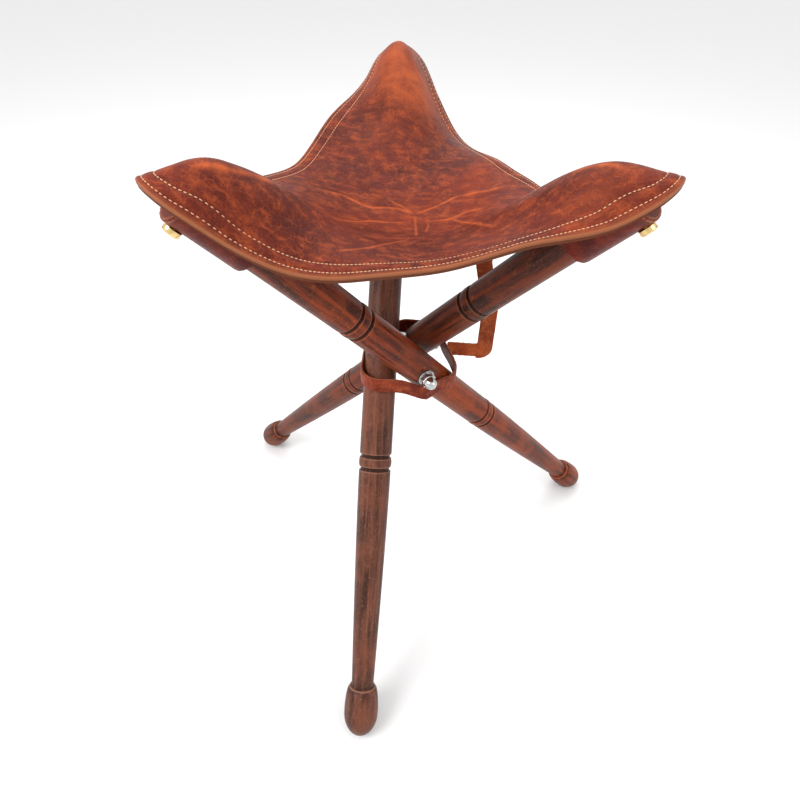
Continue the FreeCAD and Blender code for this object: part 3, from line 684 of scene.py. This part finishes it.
def fold_at(place):
    """How far the hide stands up in a crease at a place over the floor, and how much it is paled along the
    crease's crest, where it is stretched and where a highlight is painted.
    """
    stand, crest_paling_and_highlight = 0.0, 0.0
    flat = place.to_3d()
    for course, width, height in CREASES:
        best, at = 1.0, 0.0
        for k in range(len(course) - 1):
            start, end = Vector(course[k]).to_3d(), Vector(course[k + 1]).to_3d()
            share = min(max(intersect_point_line(flat, start, end)[1], 0.0), 1.0)
            away = (start.lerp(end, share) - flat).length
            if away < best:
                best, at = away, (k + share) / (len(course) - 1)
        if best < 4 * width:
            fade = min(1.0, 6.0 * (1 - at)) * min(1.0, 0.35 + 6.0 * at)
            crest = math.exp(-((best / width) ** 2))
            trough = 0.45 * math.exp(-(((best - 1.9 * width) / width) ** 2))
            stand += CREASE_STAND * height * fade * (crest - trough)
            crest_paling_and_highlight = max(crest_paling_and_highlight, fade * math.exp(-((best / (0.38 * width)) ** 2)))
    ripple = noise.noise(Vector((place.x * 34, place.y * 34, 0.3))) * 0.0007
    ripple += noise.noise(Vector((place.x * 95, place.y * 95, 2.1))) * 0.00025
    return stand + ripple, crest_paling_and_highlight


def hide_tone_and_painted_light(place):
    """The hide's colour at a place over the floor, with every patch of painted shade and painted highlight
    laid over it in turn.
    """
    tone = Vector(HIDE_TONE)
    for spot, reach, painted_patch_tone, strength in HIDE_PAINTED_LIGHT_PATCHES:
        away = (place - Vector(spot)).length / reach
        wander = 0.30 * noise.noise(Vector((place.x * 60, place.y * 60, 5.0)))
        tone = tone.lerp(Vector(painted_patch_tone), strength * math.exp(-(max(away + wander, 0.0) ** 2)))
    return tone


def edge_easing(inset):
    """How far the upper face lies below the flat hide near the edge: rounded rim and stitch grooves."""
    easing = 0.0010 * max(0.0, 1 - inset / 0.0016) ** 2
    for row in STITCH_ROWS:
        easing += 0.0006 * math.exp(-(((inset - row) / 0.0007) ** 2))
    if STITCH_ROWS[0] < inset < STITCH_ROWS[1]:
        puff = (inset - STITCH_ROWS[0]) / (STITCH_ROWS[1] - STITCH_ROWS[0])
        easing -= 0.0004 * math.sin(math.pi * puff)
    return easing


def leaf_grid(first_turn, insets, inner_rows):
    """A grid over one third of the seat, with columns along its edge and rows in from it."""
    rows = len(insets) - 1 + inner_rows
    shape = bmesh.new()
    bmesh.ops.create_grid(shape, x_segments=COLUMNS, y_segments=rows, size=1.0)
    inset_layer = shape.verts.layers.float.new("inset")
    for v in shape.verts:
        column = round((v.co.x + 1) / 2 * COLUMNS)
        row = round((v.co.y + 1) / 2 * rows)
        side = column / COLUMNS * 2 - 1
        turn = first_turn + 60 + math.copysign(60 * abs(side) ** 1.25, side)
        if row < len(insets):
            flat = inset_at(turn, insets[row])
            v[inset_layer] = insets[row]
        else:
            share = (row - len(insets) + 1) / inner_rows
            flat = inset_at(turn, insets[-1]).lerp(SEAT_MIDDLE.xy, share)
            v[inset_layer] = insets[-1] + 0.08 * share
        v.co = flat.to_3d()
    bmesh.ops.remove_doubles(shape, verts=shape.verts, dist=2e-6)
    return shape


def closed_leaf(shape, drop):
    """Gives a one-sided leaf its lower face and the walls between the two. drop is the thickness."""
    upper = shape.faces[:]
    if upper[len(upper) // 2].normal.z < 0:
        bmesh.ops.reverse_faces(shape, faces=upper)
    lower = bmesh.ops.duplicate(shape, geom=upper)["geom"]
    faces = [g for g in lower if isinstance(g, bmesh.types.BMFace)]
    bmesh.ops.translate(shape, verts=list({v for f in faces for v in f.verts}), vec=(0, 0, -drop))
    bmesh.ops.reverse_faces(shape, faces=faces)
    bmesh.ops.bridge_loops(shape, edges=[e for e in shape.edges if e.is_boundary])
    return shape


def pull_up_leather(name, tone, deep, pale, rough, tone_with_painted_light=False, grain=1.0, cut_tone=CUT_TONE):
    """Waxed leather: mottled dye, fine veins and pebble grain, paler where it is cut, and paler along crease
    crests, both where it is stretched and as a painted highlight.
    """
    material, tree, shader = finish_of(name, rough=rough, gloss=0.13)
    place = node(tree, "TexCoord", out=3)
    clouds = node(tree, "TexNoise", {"Vector": place, "Scale": 24.0, "Detail": 6.0, "Roughness": 0.62})
    mottle = node(tree, "TexNoise", {"Vector": place, "Scale": 95.0, "Detail": 5.0, "Roughness": 0.65})
    shift = node(tree, "TexNoise", {"Vector": place, "Scale": 130.0, "Detail": 2.0}, out=1)
    wander = node(tree, "VectorMath", {0: shift, 1: (0.006, 0.006, 0.006)}, operation="MULTIPLY")
    wandering = node(tree, "VectorMath", {0: place, 1: wander}, operation="ADD")
    edges = {"feature": "DISTANCE_TO_EDGE"}
    veins = node(tree, "TexVoronoi", {"Vector": wandering, "Scale": 230.0 / grain}, **edges)
    cells = node(tree, "TexVoronoi", {"Vector": wandering, "Scale": 620.0 / grain}, **edges)
    pebble = node(tree, "TexNoise", {"Vector": place, "Scale": 1100.0, "Detail": 2.0})
    wrinkles = node(tree, "Mapping", {0: wandering, "Rotation": (0.0, 0.0, 0.5), "Scale": (0.35, 1.6, 0.8)})
    wrinkles = node(tree, "TexNoise", {"Vector": wrinkles, "Scale": 150.0, "Detail": 5.0, "Roughness": 0.6})
    base = tint(tone)
    # the tone attribute carries the hide's colour with painted shade and painted highlight laid on it
    if tone_with_painted_light:
        base = node(tree, "Attribute", attribute_name="tone")
    dark = mixed(tree, 1.0, base, tint(deep), "MULTIPLY")
    shade = mixed(tree, stretch(tree, clouds, 0.35, 0.70), dark, base)
    shade = mixed(tree, stretch(tree, mottle, 0.48, 0.74, 0.0, 0.38), shade, tint(pale))
    shade = mixed(tree, stretch(tree, wrinkles, 0.54, 0.72, 0.0, 0.45), shade, tint(pale))
    shade = mixed(tree, stretch(tree, wrinkles, 0.46, 0.34, 0.0, 0.60), shade, dark)
    line = stretch(tree, veins, 0.0, 0.075, 1.0, 0.0)
    patchy = worked(tree, "MULTIPLY", line, stretch(tree, mottle, 0.38, 0.62, 0.05, 0.42))
    shade = mixed(tree, patchy, shade, tint(pale))
    shade = mixed(tree, stretch(tree, cells, 0.0, 0.05, 0.28, 0.0), shade, dark)
    crest_paling_and_highlight = node(tree, "Attribute", out=2, attribute_name="crest_paling_and_highlight")
    # paler along the crests of the creases: the leather's paling where it is stretched, and a painted
    # highlight
    crest_pale_and_highlight = worked(tree, "MULTIPLY", crest_paling_and_highlight, stretch(tree, mottle, 0.35, 0.60, 0.35, 1.0))
    shade = mixed(tree, crest_pale_and_highlight, shade, tint(pale))
    cut = node(tree, "Attribute", out=2, attribute_name="cut")
    shade = mixed(tree, cut, shade, tint(cut_tone))
    tree.links.new(shade, shader.inputs["Base Color"])
    tree.links.new(stretch(tree, clouds, 0.3, 0.7, rough - 0.08, rough + 0.10), shader.inputs["Roughness"])
    pebble = worked(tree, "MULTIPLY", pebble, 0.5)
    height = worked(tree, "ADD", stretch(tree, cells, 0.0, 0.12, 0.0, 0.6), pebble)
    height = worked(tree, "SUBTRACT", height, worked(tree, "MULTIPLY", line, 0.5))
    height = worked(tree, "ADD", height, worked(tree, "MULTIPLY", wrinkles, 1.2))
    bump = node(tree, "Bump", {"Height": height, "Strength": 0.45, "Distance": 0.0005})
    tree.links.new(bump, shader.inputs["Normal"])
    return material


# the seat's colour comes from the tone attribute, which carries the patches of painted shade and painted
# highlight
seat_hide = pull_up_leather(
    "seat_hide", HIDE_TONE, (0.42, 0.31, 0.34), (0.46, 0.084, 0.017), 0.40, tone_with_painted_light=True
)
edge_hide = pull_up_leather(
    "edge_hide",
    (0.150, 0.038, 0.016),
    (0.5, 0.45, 0.4),
    (0.34, 0.12, 0.05),
    0.55,
    cut_tone=(0.12, 0.034, 0.015),
)
thread, tree, shader = finish_of("waxed_thread", rough=0.55)
place = node(tree, "TexCoord", out=3)
twist = node(tree, "TexNoise", {"Vector": place, "Scale": 900.0, "Detail": 3.0})
shade = mixed(tree, twist, tint((0.46, 0.23, 0.12)), tint((0.80, 0.50, 0.29)))
tree.links.new(shade, shader.inputs["Base Color"])
bump = node(tree, "Bump", {"Height": twist, "Strength": 0.4, "Distance": 0.0002})
tree.links.new(bump, shader.inputs["Normal"])

upper_leaves = []
for i, name in enumerate(RING):
    shape = leaf_grid(120 * i - 60, ROW_INSETS, INNER_ROWS)
    inset_layer = shape.verts.layers.float["inset"]
    crest_paling_highlight_layer = shape.verts.layers.float.new("crest_paling_and_highlight")
    cut_layer = shape.verts.layers.float.new("cut")
    painted_light_tone_layer = shape.verts.layers.float_color.new("tone")
    for v in shape.verts:
        flat = v.co.xy
        stand, crest_paling_and_highlight = fold_at(flat)
        inner = min(1.0, v[inset_layer] / 0.022)
        v[crest_paling_highlight_layer] = crest_paling_and_highlight
        v[cut_layer] = 1.0 if v[inset_layer] < 0.0006 else 0.45 * max(0.0, 1 - v[inset_layer] / 0.0029)
        v[painted_light_tone_layer] = (*hide_tone_and_painted_light(flat), 1.0)
        v.co.z = hide_height(v.co.x, v.co.y) + stand * inner - edge_easing(v[inset_layer])
    upper_leaves.append(closed_leaf(shape, SEAT_T - FACE_DROP))

# one set of shading directions for the whole hide, so that its three leaves meet without a line
together = bmesh.new()
for shape in upper_leaves:
    part_mesh = bpy.data.meshes.new("leaf")
    shape.to_mesh(part_mesh)
    together.from_mesh(part_mesh)
    bpy.data.meshes.remove(part_mesh)
inset_layer = together.verts.layers.float["inset"]
upright = [f for f in together.faces if abs(f.normal.z) < 0.05]
wall = [f for f in upright if min(v[inset_layer] for v in f.verts) > 0.0]
bmesh.ops.delete(together, geom=wall, context="FACES_ONLY")
bmesh.ops.remove_doubles(together, verts=together.verts, dist=2e-6)
together.normal_update()
facing = {tuple(round(c, 5) for c in v.co): v.normal.copy() for v in together.verts}
together.free()

leaf_pieces = {}
for name, shape in zip(RING, upper_leaves):
    piece = new_piece("seat_leaf_" + name, shape, seat_hide)
    ways = [facing.get(tuple(round(c, 5) for c in v.co), v.normal) for v in piece.data.vertices]
    piece.data.normals_split_custom_set_from_vertices([tuple(w) for w in ways])
    leaf_pieces[name] = [piece]

    # the strip sewn beneath the edge
    first_turn = 120 * RING.index(name) - 60
    strip = leaf_grid(first_turn, STRIP_INSETS, 0)
    cut_layer = strip.verts.layers.float.new("cut")
    inset_layer = strip.verts.layers.float["inset"]
    for v in strip.verts:
        v[cut_layer] = 1.0 if v[inset_layer] < 0.0008 else 0.0
        v.co.z = hide_height(v.co.x, v.co.y) - SEAT_T - 0.0001
    band = new_piece("edge_strip_" + name, closed_leaf(strip, BAND_T), edge_hide, sharp=60)
    leaf_pieces[name].append(band)

    # saddle stitches, each a short pull of thread that dips into its two holes
    sewn = bmesh.new()
    for row in STITCH_ROWS:
        for under in (False, True):
            walk, gone = 0.0, STITCH_PITCH / 2
            last = inset_at(first_turn, row)
            while walk < 120:
                walk += 0.06
                here = inset_at(first_turn + walk, row)
                gone += (here - last).length
                last = here
                if gone < STITCH_PITCH:
                    continue
                gone -= STITCH_PITCH
                ahead = inset_at(first_turn + walk + 0.3, row)
                aside = here + (SEAT_MIDDLE.xy - here).normalized() * 0.002
                low = -SEAT_T - BAND_T - 0.0001 if under else -0.0004
                spots = [Vector((*p, hide_height(*p))) for p in (here, ahead, aside)]
                way = (spots[1] - spots[0]).normalized()
                up = way.cross(spots[2] - spots[0]).normalized()
                if up.z < 0:
                    up = -up
                lay = aim(up, way, spots[0] + Vector((0, 0, low)))
                size = Matrix.Diagonal((*STITCH_SIZE, 1.0))
                bmesh.ops.create_uvsphere(sewn, u_segments=6, v_segments=4, radius=1.0, matrix=lay @ size)
    leaf_pieces[name].append(new_piece("stitches_" + name, sewn, thread))

# The corner pockets: smooth dark leather cups sewn under the seat's corners, each slipped over a leg's end
# and held by one brass screw.
POCKET_T = 0.0025
POCKET_SKIN = 0.0011
SMOOTHINGS = 3


def softened(name, node_name, skin_step, thickness, material):
    """A soft piece grown from its frame solid: even skin, eased edges, and its cut edges noted."""
    shape = bmesh.new()
    shape.from_mesh(frame["nodes"][node_name].data)
    bmesh.ops.remove_doubles(shape, verts=shape.verts, dist=1e-6)
    rough_piece = new_piece(name + "_rough", shape, material)
    skin = rough_piece.modifiers.new("skin", "REMESH")
    skin.mode = "VOXEL"
    skin.voxel_size = skin_step
    whole = rough_piece.evaluated_get(bpy.context.evaluated_depsgraph_get())
    shape = bmesh.new()
    shape.from_mesh(whole.to_mesh())
    bpy.data.objects.remove(rough_piece)
    for again in range(SMOOTHINGS):
        bmesh.ops.smooth_vert(
            shape, verts=shape.verts, factor=0.5, use_axis_x=True, use_axis_y=True, use_axis_z=True
        )
    shape.normal_update()
    cut_layer = shape.verts.layers.float.new("cut")
    inside = BVHTree.FromBMesh(shape)
    for v in shape.verts:
        hit = inside.ray_cast(v.co - v.normal * 0.0001, -v.normal)
        deep = hit[3] if hit[3] is not None else thickness
        v[cut_layer] = min(1.0, max(0.0, (deep - 1.5 * thickness) / thickness))
    return new_piece(name, shape, material)


pocket_hide = pull_up_leather(
    "pocket_hide", (0.150, 0.013, 0.005), (0.45, 0.36, 0.36), (0.30, 0.034, 0.009), 0.34
)
pocket_pieces = {}
for name in RING:
    stands_for = "pocket_" + name
    pocket_pieces[name] = softened("corner_" + stands_for, stands_for, POCKET_SKIN, POCKET_T, pocket_hide)

# The corner screws: slotted brass cheese-head screws, polished and a little smudged.
SCREW_AT = 0.008
SCREW_SEAT = 0.0208
HEAD_R = 0.00625
HEAD_H = 0.0046
SLOT_W = 0.0014
SLOT_DEEP = 0.0016

brass = bright_metal("brass", (0.83, 0.60, 0.27), 0.20)
for name in RING:
    out = outward(name)
    side = LEG_LEAN[name].cross(out).normalized()
    place = aim(out, side, on_leg(name, LEG_TOP - SCREW_AT) + out * SCREW_SEAT)
    rows = [(0.0, -0.0175), (0.0012, -0.0165), (0.0020, -0.0135), (0.0020, 0.0), (HEAD_R - 0.0003, 0.0)]
    rows += [(HEAD_R, 0.0003), (HEAD_R, HEAD_H - 0.0010), (HEAD_R - 0.0003, HEAD_H - 0.0004)]
    rows += [(HEAD_R - 0.0009, HEAD_H), (0.0, HEAD_H + 0.0001)]
    shape = turned([(r, z, 0.0) for r, z in rows], steps=48)
    piece = new_piece("brass_screw_" + name, shape, brass)
    slot = bmesh.new()
    bmesh.ops.create_cube(slot, size=1.0)
    bmesh.ops.scale(slot, vec=(0.02, SLOT_W, 0.01), verts=slot.verts)
    bmesh.ops.translate(slot, vec=(0, 0, HEAD_H - SLOT_DEEP + 0.005), verts=slot.verts)
    carve(piece, slot)
    piece.data.transform(place)
    piece.data.set_sharp_from_angle(angle=math.radians(30))
    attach(piece, LEG_BODY[name])
    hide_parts("screw_" + name)

# The leather strap: a belt wound round the crossing to hold the bundle, and its loose end folded up to the
# seat's edge. Pebbled tan leather with pale cut edges.
STRAP_T = 0.0025
STRAP_SKIN = 0.0008
STRAP_CORNER = CROSSING + Vector((0.095, 0.007, -0.022))
CORNER_ROUND = 0.014

strap_hide = pull_up_leather(
    "strap_hide", (0.36, 0.062, 0.012), (0.46, 0.38, 0.35), (0.60, 0.17, 0.05), 0.48, grain=0.8
)
belt_hide = pull_up_leather("belt_hide", (0.215, 0.026, 0.008), (0.42, 0.36, 0.42), (0.45, 0.10, 0.035), 0.40)
belt = softened("leg_strap_belt", "leg_belt", STRAP_SKIN, STRAP_T, belt_hide)
tail = softened("leg_strap_tail", "strap_tail", STRAP_SKIN, STRAP_T, strap_hide)
# the outer corner of the fold, rounded off
for v in tail.data.vertices:
    out, down = v.co.x - STRAP_CORNER.x + CORNER_ROUND, STRAP_CORNER.z + CORNER_ROUND - v.co.z
    if out > 0 and down > 0:
        ease = max(out, down) / math.hypot(out, down)
        v.co.x -= out * (1 - ease)
        v.co.z += down * (1 - ease)
for piece, stands_for in ((belt, "leg_belt"), (tail, "strap_tail")):
    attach(piece, "crossing")
    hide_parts(stands_for)

# Fitting the leather to the frame: each leaf of the seat and each pocket goes with its leg, and gets a mesh of
# its own.
for name in RING:
    out = outward(name)
    leaf, band, sewn = leaf_pieces[name]
    pocket = pocket_pieces[name]
    for piece in (leaf, band, sewn, pocket):
        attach(piece, LEG_BODY[name])
    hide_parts("seat_leather")
    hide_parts("seat_edge_band")
    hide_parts("pocket_" + name)
    for piece in (leaf, band, sewn):
        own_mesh(piece)
    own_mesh(pocket)
